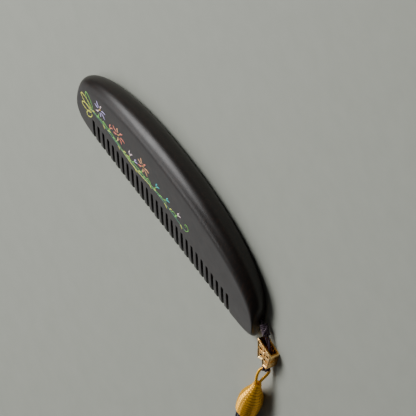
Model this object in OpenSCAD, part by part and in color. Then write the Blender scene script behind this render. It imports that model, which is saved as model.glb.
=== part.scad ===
// Half-moon scalp comb of dark wood, lying on its back face with its painted
// face up. A doubled cord leaves a blind hole in its right-hand end, threads a
// pierced gold charm and holds a tassel by its gold loop.
// Millimetres. X runs along the comb, Y from the tooth tips to the spine, Z up.
// The origin lies under the middle of the comb, on the surface that it rests on.

/* [Comb] */
// Length of the comb, end to end
comb_len = 150; // [130:1:170]
// Height from the tooth tips to the top of the spine
comb_h = 51.6; // [46:0.1:58]
// Thickness that the two faces reach at their full height
comb_t = 14.3; // [11:0.1:16]
// Height above the tips at which the faces reach it
full_y = 47.4; // [44:0.1:50]
// Thickness at the tooth tips
tip_t = 1.8; // [1.2:0.1:2.6]
// Height above the tips at which the comb is widest
widest_y = 22.8; // [20:0.1:28]
// Fullness of the arched spine, where 2 is an ellipse
spine_power = 2.03; // [1.6:0.01:2.4]
// Squareness of the two lower corners
corner_power = 8.1; // [5:0.1:9]
// Width of the rounded spine, measured in from the outline
spine_round = 7; // [4:0.1:8]
// Width of the rounding round the comb's two ends
end_round = 4.2; // [3:0.1:6]
// Width of the rounding at the tooth tips
tip_round = 1.3; // [0.8:0.1:2]
// Fullness of the two faces, where 1 is flat
face_power = 0.75; // [0.65:0.05:0.95]
// Heights above the tips between which both faces are flat, so that the comb lies still
flat_low = 18; // [16:1:22]
flat_high = 38; // [34:1:40]

/* [Teeth] */
// Number of gaps between the teeth
gap_count = 28; // [20:1:29]
// Distance from one gap to the next
gap_pitch = 4.19; // [3.8:0.01:4.3]
// Width of a gap
gap_w = 1.7; // [1.2:0.1:2.4]
// Height of the middle gaps above the tips
root_y = 14.3; // [12:0.1:22]
// How much higher the gaps would reach at the comb's very ends
root_rise = 0.8; // [0:0.1:3]
// Shift of the row of gaps towards the left-hand end
row_shift = 2.6; // [0:0.1:3]

/* [Cord] */
// Thickness of the single strand, which runs doubled
strand_d = 0.9; // [0.8:0.05:1]
// Diameter of the blind hole in the comb's end
bore_d = 2.6; // [2.4:0.1:3]
// Depth of the blind hole
bore_depth = 8; // [7:0.5:12]

/* [Charm] */
// Height of the box-shaped charm, both plates and their rims
charm_t = 5; // [4.8:0.1:5.6]
// Thickness of each pierced plate
plate_t = 0.7; // [0.6:0.1:0.9]
// Height of the raised rim and boss on each plate
relief = 0.2; // [0.2:0.05:0.4]

/* [Tassel] */
// Thickness of the gold cord in the loop
loop_wire = 1.4; // [1.2:0.1:1.4]
// Length of the loop from the head to its far end
loop_len = 8.7; // [8.6:0.1:8.8]
// Greatest radius of the wound head
head_r = 5.7; // [5.2:0.1:6]
// Length of the wound head
head_len = 20.3; // [17.5:1.4:21.7]
// Distance between neighbouring windings
winding = 1.4; // [1.4:0.1:1.6]
// Length of the skirt below the head
skirt_len = 65; // [40:1:90]
// Number of locks round the skirt
lock_count = 14; // [10:1:16]

/* [Hidden] */

half_len = comb_len / 2;
sections = 56;
// Rows of points up a face: shares of the tips' rounding, straight lines at these
// heights, and shares of the spine's rounding
low_shares = [0, 0.12, 0.4, 1];
lines_at = [3.5, 6, 9, 13, flat_low, (flat_low + flat_high) / 2, flat_high];
high_shares = [1, 0.74, 0.5, 0.29, 0.13, 0.03, 0];
face_rows = len(low_shares) + len(lines_at) + len(high_shares) - 1;
// Height of a section under which its rows close up, and how evenly the lines do
full_rows_h = 9;
even_share = 0.35;

// Height of a superellipse above its axis, for a share of its half-width
function arch(share, power) = pow(max(0, 1 - pow(share, power)), 1 / power);

// Cosine of the outline's slope there, which turns a height into a distance
function lean(share, power, rise) =
    cos(atan(rise / half_len * pow(share, power - 1)
        * pow(1 - pow(share, power), 1 / power - 1)));

function share(x) = min(abs(x) / half_len, 0.99999);
function spine_y(x) = widest_y + (comb_h - widest_y) * arch(share(x), spine_power);
function tips_y(x) = widest_y * (1 - arch(share(x), corner_power));
function spine_lean(x) = lean(share(x), spine_power, comb_h - widest_y);
function tips_lean(x) = lean(share(x), corner_power, widest_y);
function low_round(x) = tip_round + (end_round - tip_round) * pow(share(x), 12);

// Quarter of an ellipse, from 0 on the outline to 1 where the face begins
function rounding(q) = sqrt(1 - pow(1 - min(max(q, 0), 1), 2));

// Half the thickness of the plain wedge, thin at the tips and full near the spine
function curved(y) =
    tip_t / 2 + (comb_t - tip_t) / 2 * pow(min(max(y / full_y, 0), 1), face_power);
flat_slope = (curved(flat_high) - curved(flat_low)) / (flat_high - flat_low);
function wedge(y) =
    y > flat_low && y < flat_high ? curved(flat_low) + flat_slope * (y - flat_low) : curved(y);

function half_t(x, y) =
    wedge(y) * rounding((spine_y(x) - y) * spine_lean(x) / spine_round)
        * rounding((y - tips_y(x)) * tips_lean(x) / low_round(x));

// Heights of the rows in the section at x
function rows_at(x) =
    let (
        low = tips_y(x),
        high = spine_y(x),
        squeeze = min(1, (high - low) / full_rows_h),
        first = low + squeeze * tip_round,
        last = high - squeeze * spine_round,
        step = even_share * (last - first) / (len(lines_at) + 1)
    )
        [
            for (s = low_shares) low + squeeze * tip_round * s,
            for (k = [0:len(lines_at) - 1])
                min(max(lines_at[k], first + step * (k + 1)), last - step * (len(lines_at) - k)),
            for (s = high_shares) high - squeeze * spine_round * s
        ];

function section_x(i) = half_len * sin(-90 + 180 * i / sections);

// One closed section: up the painted face, then down the back
function section(x) =
    let (rows = rows_at(x))
        [
            for (j = [0:face_rows]) [x, rows[j], half_t(x, rows[j])],
            for (j = [face_rows - 1:-1:1]) [x, rows[j], -half_t(x, rows[j])]
        ];

// Triangles that join rings of n points and close both ends on single points,
// the first of which comes before the rings and the second after them
function ring_faces(rings, n) = [
    for (k = [0:n - 1]) [0, 1 + (k + 1) % n, 1 + k],
    for (r = [0:rings - 2], k = [0:n - 1])
        let (a = 1 + r * n + k, b = 1 + r * n + (k + 1) % n)
            each [[a, b, b + n], [a, b + n, a + n]],
    for (k = [0:n - 1])
        [rings * n + 1, 1 + (rings - 1) * n + k, 1 + (rings - 1) * n + (k + 1) % n]
];

comb_points = [
    [-half_len, widest_y, 0],
    for (i = [1:sections - 1]) each section(section_x(i)),
    [half_len, widest_y, 0]
];

// The comb rests on the flat strip of its back
rest_tilt = atan(flat_slope);
function tilted(p) = [
    p.x,
    p.y * cos(rest_tilt) - p.z * sin(rest_tilt),
    p.y * sin(rest_tilt) + p.z * cos(rest_tilt)
];
tilted_points = [for (p = comb_points) tilted(p)];
depths = [for (p = tilted_points) p.y];
mid_y = (min(depths) + max(depths)) / 2;
lift = -min([for (p = tilted_points) p.z]);

// Gap between two teeth: straight sides and a round root
function gap_x(i) = (i - (gap_count - 1) / 2) * gap_pitch - row_shift;
function gap_root(x) = root_y + root_rise * pow(x / half_len, 2);
root_steps = 8;
module gap_profile(x) {
    r = gap_w / 2;
    top = gap_root(x) - r;
    polygon([
        [x - r, -gap_w],
        [x + r, -gap_w],
        for (k = [0:root_steps])
            let (turn = 180 * k / root_steps) [x + r * cos(turn), top + r * sin(turn)]
    ]);
}

// Middle line of the doubled cord, from inside the blind hole, through its knot
// and the charm's open side, and out at the charm's point
cord_route = [
    [69, -9, 2.8], [70.5, -9, 2.8], [72, -9, 2.8], [73.5, -9, 2.8],
    [75, -9.05, 2.8], [75.95, -9.45, 2.7], [76.8, -10.1, 2.6], [77.6, -10.8, 2.5],
    [78.4, -11.55, 2.5], [79.2, -12.3, 2.5], [80, -13.05, 2.5], [80.9, -14, 2.5],
    [81.9, -15.05, 2.5], [82.9, -16.25, 2.5], [83.9, -17.6, 2.5], [84.8, -19, 2.5],
    [85.6, -20.5, 2.5], [86.2, -22.1, 2.5], [86.6, -23.75, 2.5], [86.8, -25.4, 2.5]
];
// Half the distance between the two strands
strand_gap = 0.52;
// Points over which the pair makes one full turn, and where the twist stops
twist_points = 10;
twist_end = 19;
// The small bight that holds the tassel's loop, beyond the charm
bight = [86.2, -28.9, 3.3];
bight_r = 1.4;
bight_skew = 0.45;
bight_steps = 8;
// How far the bight and the loop through it are rolled out of the level and the upright
loop_roll = 30;
// Points between the charm and the bight, and how far the strands part there,
// first across the loop that they hold and then along it
parting = [
    [[86.75, -26.4, 2.55], 0.55, 0.1],
    [[86.58, -27.35, 2.8], 0.75, 0.3]
];
// The knot: the barrel of strand that is wound round the pair
knot_index = 8;
knot_bore = 1.15;
knot_r = 1.8;
knot_half = 2.9;
knot_ease = 0.35;

function level(v) = let (flat = [v.x, v.y]) [v.x, v.y, 0] / norm(flat);
function heading(list, k) =
    level(list[min(k + 1, len(list) - 1)] - list[max(k - 1, 0)]);
// Unit vector to the left of the way that the route goes
function beside(d) = [-d.y, d.x, 0];
// The same, turned up out of the level by an angle
function turned(d, angle) = cos(angle) * beside(d) + sin(angle) * [0, 0, 1];

// Angle of the pair of strands about their middle line
function twist(k) = 360 * min(k, twist_end) / twist_points;
function strand_point(k, side) =
    let (a = twist(k) - 360 * twist_end / twist_points + loop_roll)
        cord_route[k] + side * strand_gap * turned(heading(cord_route, k), a);
tail_heading = level(bight - cord_route[len(cord_route) - 1]);
tail_side = turned(tail_heading, loop_roll);
tail_over = turned(tail_heading, loop_roll + 90);
function parting_point(k, side) =
    parting[k][0] + side * (parting[k][1] * tail_side - parting[k][2] * tail_over);

// The whole strand: out along one side, round the bight and back on the other
cord_path = [
    for (k = [0:len(cord_route) - 1]) strand_point(k, 1),
    for (k = [0:len(parting) - 1]) parting_point(k, 1),
    for (k = [0:bight_steps])
        let (a = 180 * k / bight_steps)
            bight + bight_r * (cos(a) * tail_side + sin(a) * tail_heading)
                - bight_skew * cos(a) * tail_over,
    for (k = [len(parting) - 1:-1:0]) parting_point(k, -1),
    for (k = [len(cord_route) - 1:-1:0]) strand_point(k, -1)
];

// Ring of n points of radius r round p, square to the way d
function ring_at(p, d, r, n) =
    let (
        t = d / norm(d),
        guess = abs(t.z) < 0.9 ? [0, 0, 1] : [1, 0, 0],
        u = cross(t, guess) / norm(cross(t, guess)),
        v = cross(t, u)
    )
        [for (k = [0:n - 1]) p + r * (cos(360 * k / n) * u + sin(360 * k / n) * v)];
function along(path, k) = path[min(k + 1, len(path) - 1)] - path[max(k - 1, 0)];

// A round tube of thickness d swept along a path
module swept(path, d, n) {
    last = len(path) - 1;
    points = [
        path[0],
        for (k = [0:last]) each ring_at(path[k], along(path, k), d / 2, n),
        path[last]
    ];
    polyhedron(points, ring_faces(last + 1, n), convexity = 6);
}

// Corners of the charm: both ends of its open side, the tip where the cord comes
// out, and the notch in its near side
charm_top = [77.8, -16.2];
charm_far = [89.1, -17.9];
charm_point = [88.9, -26.4];
charm_low = [85.8, -27.3];
charm_notch = [84.2, -24.9];
charm_near = [81.1, -26.3];
charm_heart = [84.1, -21.1];
// Opening at the point, where the doubled cord comes out
charm_exit_x = 86.75;
charm_exit_d = 2.7;
charm_exit_deep = 4.4;
corner_cut = 0.9;
// How far the walls and the raised rim reach in from the corners
wall_in = 1.5;
rim_in = 1;
// Pierced petals round the heart, and two pierced holes beside them
petal_count = 5;
petal_at = 2.45;
petal_len = 2.2;
petal_w = 1.3;
petal_first = 15;
boss_d = 1.9;
hole_d = 0.9;
charm_holes = [[80, -17.9], [80.1, -20.2]];

// Outline through corners, each corner cut back and eased by an extra point
function eased(corners, cut) = [
    for (k = [0:len(corners) - 1])
        let (
            p = corners[k],
            before = corners[(k + len(corners) - 1) % len(corners)],
            after = corners[(k + 1) % len(corners)],
            a = p + cut * (before - p) / norm(before - p),
            b = p + cut * (after - p) / norm(after - p)
        )
            each [a, (a + b + 2 * p) / 4, b]
];
function toward(p, q, far) = p + far * (q - p) / norm(q - p);
function beside_2d(v) = [-v.y, v.x] / norm(v);
charm_corners = [charm_top, charm_near, charm_notch, charm_low, charm_point, charm_far];
charm_inner = [for (p = charm_corners) toward(p, charm_heart, wall_in)];

// Teardrop with its point at the origin and its round end along +X
module petal() {
    r = petal_w / 2;
    polygon([
        [0, 0],
        for (k = [-4:4]) [petal_len - r + r * cos(k * 25), r * sin(k * 25)]
    ]);
}
module charm_piercing() {
    for (k = [0:petal_count - 1])
        translate(charm_heart) rotate(360 * k / petal_count + petal_first)
            translate([petal_at - petal_len / 2, 0]) petal();
    for (at = charm_holes) translate(at) circle(d = hole_d, $fn = 16);
}

// The tassel lies along this way, from its neck to the end of its skirt, and its
// loop comes to the neck along that way
tassel_turn = -95;
loop_turn = -86.5;
head_z = head_r + 0.05;
neck = [86.75, -37.8, head_z];
neck_r = 2;
loop_points = 24;
loop_half_w = 2;
neck_gap = 0.75;
// Clearance between the wires of the loop and the head
neck_clear = 0.25;

// A teardrop that is rolled out of the upright: both wires leave the neck together
function loop_point(k) =
    let (
        a = 360 * k / loop_points,
        out = loop_len * sin(a / 2),
        half = loop_half_w * sin(a) * pow(sin(a / 2), 0.35) + neck_gap * cos(a / 2)
    )
        [
            -out - neck_clear,
            -half * sin(loop_roll),
            half * cos(loop_roll) + (bight.z - head_z) * ease(out / loop_len)
        ];

// Radius of the wound head at a share of its length
function head_radius(s) = neck_r + (head_r - neck_r) * ease(s / flare_end)
    - draw_in * pow(max(s - draw_from, 0) / (1 - draw_from), 2);
// Shares of the head's length at which its flare ends and its foot draws in
flare_end = 0.62;
draw_from = 0.7;
draw_in = 0.5;
windings = floor(head_len / winding);
winding_bulge = 0.25;
arc_points = 4;
cup_r = 4.3;
cup_depth = 3;

skirt_r = 4.1;
skirt_rings = 13;
lock_points = 4;
lock_depth = 0.16;
skirt_end_w = 9;
skirt_end_h = 3.2;
fall_len = 16;
ragged = 5;

// A repeatable number from 0 to 1 for each lock
function uneven(k) = let (v = sin(k * 127.1 + 31) * 43.7) v - floor(v);
function ease(q) = let (c = min(max(q, 0), 1)) c * c * (3 - 2 * c);
function skirt_half_w(q) = skirt_r + (skirt_end_w - skirt_r) * ease(q * 0.85);
function skirt_half_h(q) = skirt_r + (skirt_end_h - skirt_r) * ease(q * 1.2);
// The locks come out of the cup level and fall to the surface over fall_len
function skirt_mid_z(q) =
    let (low = skirt_half_h(q))
        low + (head_z - low) * (1 - ease((q * skirt_len - cup_depth) / fall_len));
function skirt_ring(k) = [
    for (m = [0:lock_count * lock_points - 1])
        let (
            q = k / (skirt_rings - 1),
            a = 360 * m / (lock_count * lock_points),
            lobe = 1 - lock_depth * (1 - abs(sin(lock_count * a / 2))),
            close = k == skirt_rings - 1 ? 0.72 : 1,
            back = ragged * uneven(floor(m / lock_points)) * pow(q, 6),
            z = skirt_mid_z(q) + skirt_half_h(q) * lobe * close * sin(a)
        )
            [q * skirt_len - back, skirt_half_w(q) * lobe * close * cos(a), max(z, 0.02)]
];

module comb() {
    color("#2b2623") difference() {
        translate([0, -mid_y, lift]) rotate([rest_tilt, 0, 0]) difference() {
            polyhedron(comb_points, ring_faces(sections - 1, 2 * face_rows), convexity = 6);
            for (i = [0:gap_count - 1])
                translate([0, 0, -comb_t])
                    linear_extrude(2 * comb_t) gap_profile(gap_x(i));
        }
        translate([half_len - bore_depth, cord_route[0].y, cord_route[0].z])
            rotate([0, 90, 0]) cylinder(d = bore_d, h = 2 * bore_depth, $fn = 32);
    }
}

module cord() {
    color("#2a2229") swept(cord_path, strand_d, 8);
}

// Barrel-shaped sleeve of lashing round the pair of strands, outside the comb
module cord_knot() {
    waist = knot_r - knot_ease;
    way = heading(cord_route, knot_index);
    color("#1f1a20") translate(cord_route[knot_index]) rotate([0, 90, atan2(way.y, way.x)])
        rotate_extrude($fn = 32)
            polygon([
                [knot_bore, -knot_half],
                [waist, -knot_half],
                [knot_r, 2 * knot_ease - knot_half],
                [knot_r, knot_half - 2 * knot_ease],
                [waist, knot_half],
                [knot_bore, knot_half]
            ]);
}

module charm() {
    outline = eased(charm_corners, corner_cut);
    rim = eased([for (p = charm_corners) toward(p, charm_heart, rim_in)], corner_cut);
    outward = 6 * beside_2d(charm_far - charm_top);
    cavity = concat(charm_inner, [charm_inner[5] + outward, charm_inner[0] + outward]);
    color("#d9a441") difference() {
        linear_extrude(charm_t) polygon(outline);
        translate([0, 0, plate_t + relief])
            linear_extrude(charm_t - 2 * (plate_t + relief)) polygon(cavity);
        translate([0, 0, -1]) linear_extrude(charm_t + 2) charm_piercing();
        for (z = [relief - charm_t, charm_t - relief])
            translate([0, 0, z]) linear_extrude(charm_t) difference() {
                polygon(rim);
                translate(charm_heart) circle(d = boss_d, $fn = 24);
            }
        translate([charm_exit_x, charm_point.y, charm_t / 2])
            rotate([90, 0, 0])
                cylinder(d = charm_exit_d, h = 2 * charm_exit_deep, center = true, $fn = 24);
    }
}

module tassel_loop() {
    color("#e0a53a") translate(neck) rotate([0, 0, loop_turn])
        swept([for (k = [0:loop_points]) loop_point(k)], loop_wire, 8);
}

module tassel_head() {
    profile = [
        [0, 0],
        for (i = [0:windings - 1], k = [0:arc_points - 1])
            let (s = (i + k / arc_points) / windings)
                [head_radius(s) - winding_bulge * (1 - sin(180 * k / arc_points)), s * head_len],
        [head_radius(1) - winding_bulge, head_len],
        [cup_r, head_len],
        [cup_r, head_len - cup_depth],
        [0, head_len - cup_depth]
    ];
    color("#e3a22f") translate(neck) rotate([0, 90, tassel_turn])
        rotate_extrude($fn = 48) polygon(profile);
}

module tassel_skirt() {
    start = head_len - cup_depth + 0.1;
    points = [
        [0, 0, head_z],
        for (k = [0:skirt_rings - 1]) each skirt_ring(k),
        [skirt_len - ragged, 0, skirt_end_h]
    ];
    color("#1c191c") translate([neck.x, neck.y, 0]) rotate([0, 0, tassel_turn])
        translate([start, 0, 0])
            polyhedron(points, ring_faces(skirt_rings, lock_count * lock_points), convexity = 6);
}

comb();
cord();
cord_knot();
charm();
tassel_loop();
tassel_head();
tassel_skirt();
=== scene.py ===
"""Half-moon scalp comb with a cord, a pierced gold charm and a tassel, dressed for rendering.

Every length in the classes is in millimetres and in the part's own frame, and
finish_piece turns a mesh to metres when it is whole.
"""

import logging
import math
import random
from collections.abc import Callable, Sequence
from dataclasses import dataclass, field
from enum import Enum
from functools import cached_property

import bmesh
import bpy
from mathutils import Matrix, Vector, geometry

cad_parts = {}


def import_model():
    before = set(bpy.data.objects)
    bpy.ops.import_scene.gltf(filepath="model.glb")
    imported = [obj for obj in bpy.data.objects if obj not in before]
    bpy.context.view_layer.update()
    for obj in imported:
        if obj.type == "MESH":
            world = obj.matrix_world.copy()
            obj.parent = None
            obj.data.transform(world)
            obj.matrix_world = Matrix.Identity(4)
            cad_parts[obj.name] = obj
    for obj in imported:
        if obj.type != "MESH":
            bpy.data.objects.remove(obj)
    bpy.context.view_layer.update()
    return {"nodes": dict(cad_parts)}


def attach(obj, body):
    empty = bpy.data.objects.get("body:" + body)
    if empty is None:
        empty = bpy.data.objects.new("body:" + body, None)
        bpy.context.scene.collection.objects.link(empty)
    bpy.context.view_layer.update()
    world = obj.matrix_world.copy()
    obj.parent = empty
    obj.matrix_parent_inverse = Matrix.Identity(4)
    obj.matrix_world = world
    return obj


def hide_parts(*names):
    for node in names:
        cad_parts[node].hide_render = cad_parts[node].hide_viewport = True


# Short names for the types in the hints
Mesh = bmesh.types.BMesh
Material = bpy.types.Material
Piece = bpy.types.Object
Socket = bpy.types.NodeSocket
Pair = tuple[float, float]
Triple = tuple[float, float, float]

LOG = logging.getLogger("comb")
MM = 0.001
ROOT = "root"
# Points that are closer than this, in millimetres, become one
WELD = 0.0002


def linear(hex_colour: str) -> tuple[float, float, float, float]:
    """Turn an sRGB hex colour to the linear one that a shader takes.

    Args:
        hex_colour: a colour such as "#1d1714".

    Returns:
        Red, green, blue and an alpha of 1.
    """
    values = [int(hex_colour[k : k + 2], 16) / 255 for k in (1, 3, 5)]
    channels = [v / 12.92 if v <= 0.04045 else ((v + 0.055) / 1.055) ** 2.4 for v in values]
    return (channels[0], channels[1], channels[2], 1.0)


def add_node(
    tree: bpy.types.NodeTree,
    kind: str,
    inputs: dict | None = None,
    output: str | int | None = None,
    **settings: object,
) -> Socket | None:
    """Add a shader node with its settings and links.

    Args:
        tree: the material's or the world's node tree.
        kind: the node's type name.
        inputs: a value or an output socket for each input, by name or number.
        output: the output to hand on, by name or number.
        settings: the node's own properties.

    Returns:
        That output, or None.
    """
    node = tree.nodes.new(kind)
    for name, value in settings.items():
        setattr(node, name, value)
    for name, value in (inputs or {}).items():
        if isinstance(value, Socket):
            tree.links.new(value, node.inputs[name])
        else:
            node.inputs[name].default_value = value
    return None if output is None else node.outputs[output]


# Finishes


class Surface:
    """A material in the making, whose patterns read its object's own coordinates."""

    def __init__(self, name: str) -> None:
        """Start an empty node material.

        Args:
            name: the real material's name.
        """
        self.material = bpy.data.materials.new(name)
        self.material.use_nodes = True
        self.tree = self.material.node_tree
        self.tree.nodes.clear()

    @cached_property
    def coords(self) -> Socket:
        """The object's own coordinates, in metres."""
        return add_node(self.tree, "ShaderNodeTexCoord", output="Object")

    def mottle(
        self,
        colours: tuple[str, str],
        scale: float,
        detail: float,
        band: Pair | None = None,
        coarseness: float = 0.5,
        coords: Socket | None = None,
    ) -> tuple[Socket, Socket]:
        """Let one colour pass into another by a noise.

        Args:
            colours: hex colours of the ground and of the spots.
            scale: number of spots along a unit of the coordinates.
            detail: number of finer layers in the noise.
            band: the part of the noise over which the colours change, or None for all.
            coarseness: weight of the finer layers.
            coords: coordinates, where they aren't the object's own.

        Returns:
            The noise and the colour.
        """
        where = self.coords if coords is None else coords
        spots = {"Vector": where, "Scale": scale, "Detail": detail, "Roughness": coarseness}
        share = noise = add_node(self.tree, "ShaderNodeTexNoise", spots, "Fac")
        if band:
            limits = {"Value": noise, "From Min": band[0], "From Max": band[1]}
            share = add_node(self.tree, "ShaderNodeMapRange", limits, "Result")
        mix = {0: share, 6: linear(colours[0]), 7: linear(colours[1])}
        return noise, add_node(self.tree, "ShaderNodeMix", mix, 2, data_type="RGBA")

    def marked(self, attribute: str, plain: Socket | tuple, other: str) -> Socket:
        """Let a colour pass into another one where the mesh's attribute says so.

        Args:
            attribute: the attribute's name.
            plain: the linear colour, or its socket, where the attribute is 0.
            other: the hex colour where it is 1.

        Returns:
            The colour.
        """
        share = add_node(self.tree, "ShaderNodeAttribute", output="Fac", attribute_name=attribute)
        mix = {0: share, 6: plain, 7: linear(other)}
        return add_node(self.tree, "ShaderNodeMix", mix, 2, data_type="RGBA")

    def finish(
        self, look: dict, height: Socket | None = None, strength: float = 0.0, depth: float = 0.04
    ) -> Material:
        """Add the shader, with a bump where there is one, and join it to the output.

        Args:
            look: the shader's inputs.
            height: the bump's height, or None.
            strength: the bump's strength.
            depth: the bump's depth in millimetres.

        Returns:
            The material.
        """
        if height is not None:
            bump = {"Strength": strength, "Distance": depth * MM, "Height": height}
            look = {**look, "Normal": add_node(self.tree, "ShaderNodeBump", bump, "Normal")}
        shader = add_node(self.tree, "ShaderNodeBsdfPrincipled", look, "BSDF")
        add_node(self.tree, "ShaderNodeOutputMaterial", {"Surface": shader})
        return self.material


@dataclass(frozen=True)
class PolishedEbony:
    """Ebony sanded fine and rubbed with wax, which gives a satin grey sheen on near-black."""

    heartwood: str = "#120d0b"
    streak: str = "#2b1a11"
    grain_width: float = 0.9
    grain_length: float = 14.0
    clouds_per_m: float = 160.0  # 6 mm across
    roughness: float = 0.35

    def build(self) -> Material:
        """Make the material, with its grain along the teeth."""
        wood = Surface("polished_ebony")
        cell = (self.grain_width, self.grain_length, self.grain_width)
        stretch = {"Vector": wood.coords, "Scale": [1 / (side * MM) for side in cell]}
        along = add_node(wood.tree, "ShaderNodeMapping", stretch, "Vector")
        grain, colour = wood.mottle(
            (self.heartwood, self.streak), 1.0, 5.0, band=(0.48, 0.78), coarseness=0.62, coords=along
        )
        spots = {"Vector": wood.coords, "Scale": self.clouds_per_m, "Detail": 3.0}
        cloud = add_node(wood.tree, "ShaderNodeTexNoise", spots, "Fac")
        limits = {"Value": cloud, "To Min": self.roughness - 0.05, "To Max": self.roughness + 0.06}
        gloss = add_node(wood.tree, "ShaderNodeMapRange", limits, "Result")
        look = {"Base Color": colour, "Roughness": gloss, "IOR": 1.44}
        return wood.finish(look, grain, strength=0.06, depth=0.05)


@dataclass(frozen=True)
class PaintedLacquer:
    """Coloured lacquer laid on with a fine brush, which stands a little proud and shines softly."""

    brush_marks_per_m: float = 1800.0  # 0.6 mm across
    roughness: float = 0.42

    def build(self) -> Material:
        """Make the material, which takes each stroke's colour from the piece's attribute."""
        lacquer = Surface("painted_lacquer")
        paint = add_node(lacquer.tree, "ShaderNodeAttribute", output="Color", attribute_name="paint")
        marks = {"Vector": lacquer.coords, "Scale": self.brush_marks_per_m, "Detail": 2.0}
        brush = add_node(lacquer.tree, "ShaderNodeTexNoise", marks, "Fac")
        limits = {"Value": brush, "To Min": 0.95, "To Max": 1.3}
        value = add_node(lacquer.tree, "ShaderNodeMapRange", limits, "Result")
        shades = {"Value": value, "Color": paint}
        colour = add_node(lacquer.tree, "ShaderNodeHueSaturation", shades, "Color")
        return lacquer.finish({"Base Color": colour, "Roughness": self.roughness})


@dataclass(frozen=True)
class WaxedCord:
    """Twisted waxed cord, whose fibres catch a thin plum-grey light on black."""

    dark: str = "#0f0a0f"
    light: str = "#7c6478"
    lustre: str = "#f2dcea"
    fibre: float = 0.12
    roughness: float = 0.42

    def build(self) -> Material:
        """Make the material."""
        cord = Surface("waxed_plum_cord")
        fibres, colour = cord.mottle(
            (self.dark, self.light), 1 / (self.fibre * MM), 3.0, band=(0.45, 0.8), coarseness=0.6
        )
        look = {
            "Base Color": colour,
            "Roughness": self.roughness,
            "Specular Tint": linear(self.lustre),
            "Sheen Weight": 0.3,
            "Sheen Roughness": 0.4,
            "Sheen Tint": linear(self.lustre),
        }
        return cord.finish(look, fibres, strength=0.3)


@dataclass(frozen=True)
class CastGold:
    """Cast brass with bright gold plating, and a darker gold painted inside the box as shade."""

    bright: str = "#ffdc98"
    deep: str = "#f0a02e"
    # Darker gold painted inside the box as the shade that falls there
    inside_shade: str = "#b27a34"
    patches_per_m: float = 420.0  # 2.4 mm across
    pits_per_m: float = 2600.0  # 0.4 mm across
    roughness: float = 0.2

    def build(self) -> Material:
        """Make the material."""
        gold = Surface("gold_plated_brass")
        patch, plated = gold.mottle(
            (self.bright, self.deep), self.patches_per_m, 3.0, band=(0.35, 0.7)
        )
        limits = {"Value": patch, "To Min": self.roughness - 0.06, "To Max": self.roughness + 0.14}
        look = {
            "Base Color": gold.marked("painted_shade_inside", plated, self.inside_shade),
            "Metallic": 1.0,
            "Roughness": add_node(gold.tree, "ShaderNodeMapRange", limits, "Result"),
        }
        pits = {"Vector": gold.coords, "Scale": self.pits_per_m, "Detail": 2.0}
        mould = add_node(gold.tree, "ShaderNodeTexNoise", pits, "Fac")
        return gold.finish(look, mould, strength=0.18, depth=0.05)


@dataclass(frozen=True)
class GoldThread:
    """Metallic thread wound tight, bright yellow on the turns, with brown painted shade between them."""

    bright: str = "#ffcc2c"
    deep: str = "#ff9d16"
    # Brown painted between the turns as the shade in the grooves
    groove_shade: str = "#6a3002"
    filament: float = 0.16
    metal: float = 0.5
    roughness: float = 0.34

    def build(self) -> Material:
        """Make the material."""
        thread = Surface("metallic_gold_thread")
        lint, lit = thread.mottle(
            (self.bright, self.deep), 1 / (self.filament * MM), 2.0, band=(0.38, 0.68)
        )
        look = {
            "Base Color": thread.marked("groove_shade", lit, self.groove_shade),
            "Metallic": self.metal,
            "Roughness": self.roughness,
        }
        return thread.finish(look, lint, strength=0.25)


@dataclass(frozen=True)
class BlackSilk:
    """Rayon tassel thread, black with a cool plum lustre along each strand."""

    dark: str = "#0c080c"
    light: str = "#33263a"
    roughness: float = 0.38

    def build(self) -> Material:
        """Make the material, which varies from strand to strand."""
        silk = Surface("black_rayon_thread")
        look = {
            "Base Color": silk.marked("strand", linear(self.dark), self.light),
            "Roughness": self.roughness,
            "Anisotropic": 0.4,
            "Sheen Weight": 0.3,
            "Sheen Roughness": 0.3,
        }
        return silk.finish(look)


@dataclass(frozen=True)
class PalePaper:
    """Matt pale card, the plain floor, with the faint clouds and tooth of its pulp."""

    light: str = "#a9aca2"
    dark: str = "#9ea197"
    clouds_per_m: float = 90.0  # 11 mm across
    # Real card's tooth is finer; 0.4 mm is as coarse as it needs to be to show
    tooth_per_m: float = 2500.0

    def build(self) -> Material:
        """Make the material."""
        card = Surface("pale_card")
        _, colour = card.mottle((self.light, self.dark), self.clouds_per_m, 6.0, coarseness=0.6)
        grit = {"Vector": card.coords, "Scale": self.tooth_per_m, "Detail": 2.0}
        tooth = add_node(card.tree, "ShaderNodeTexNoise", grit, "Fac")
        return card.finish({"Base Color": colour, "Roughness": 0.88}, tooth, strength=0.1)


# Mesh helpers


def ease(q: float) -> float:
    """Smooth step from 0 to 1."""
    c = min(max(q, 0.0), 1.0)
    return c * c * (3 - 2 * c)


def mapped_grid(
    bm: Mesh, across: int, along: int, place: Callable[[int, int], Vector]
) -> dict[bmesh.types.BMVert, tuple[int, int]]:
    """Add a grid of faces and move each of its vertices.

    Args:
        bm: the mesh.
        across: number of faces across the grid.
        along: number of faces along the grid.
        place: gives the place of a vertex from its number across and along.

    Returns:
        The new vertices, each with its number across and along.
    """
    made = bmesh.ops.create_grid(bm, x_segments=across, y_segments=along, size=0.5)["verts"]
    numbers = {v: (round((v.co.x + 0.5) * across), round((v.co.y + 0.5) * along)) for v in made}
    for v, (i, j) in numbers.items():
        v.co = place(i, j)
    return numbers


def add_object(name: str, data: bpy.types.ID) -> Piece:
    """Put an object that holds this data into the scene."""
    added = bpy.data.objects.new(name, data)
    bpy.context.scene.collection.objects.link(added)
    return added


def to_object(bm: Mesh, name: str) -> Piece:
    """Turn a mesh in millimetres to an object in metres, and free the mesh.

    Args:
        bm: the mesh.
        name: the object's name.

    Returns:
        The new object.
    """
    bmesh.ops.scale(bm, vec=(MM, MM, MM), verts=bm.verts)
    mesh = bpy.data.meshes.new(name)
    bm.to_mesh(mesh)
    bm.free()
    return add_object(name, mesh)


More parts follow.
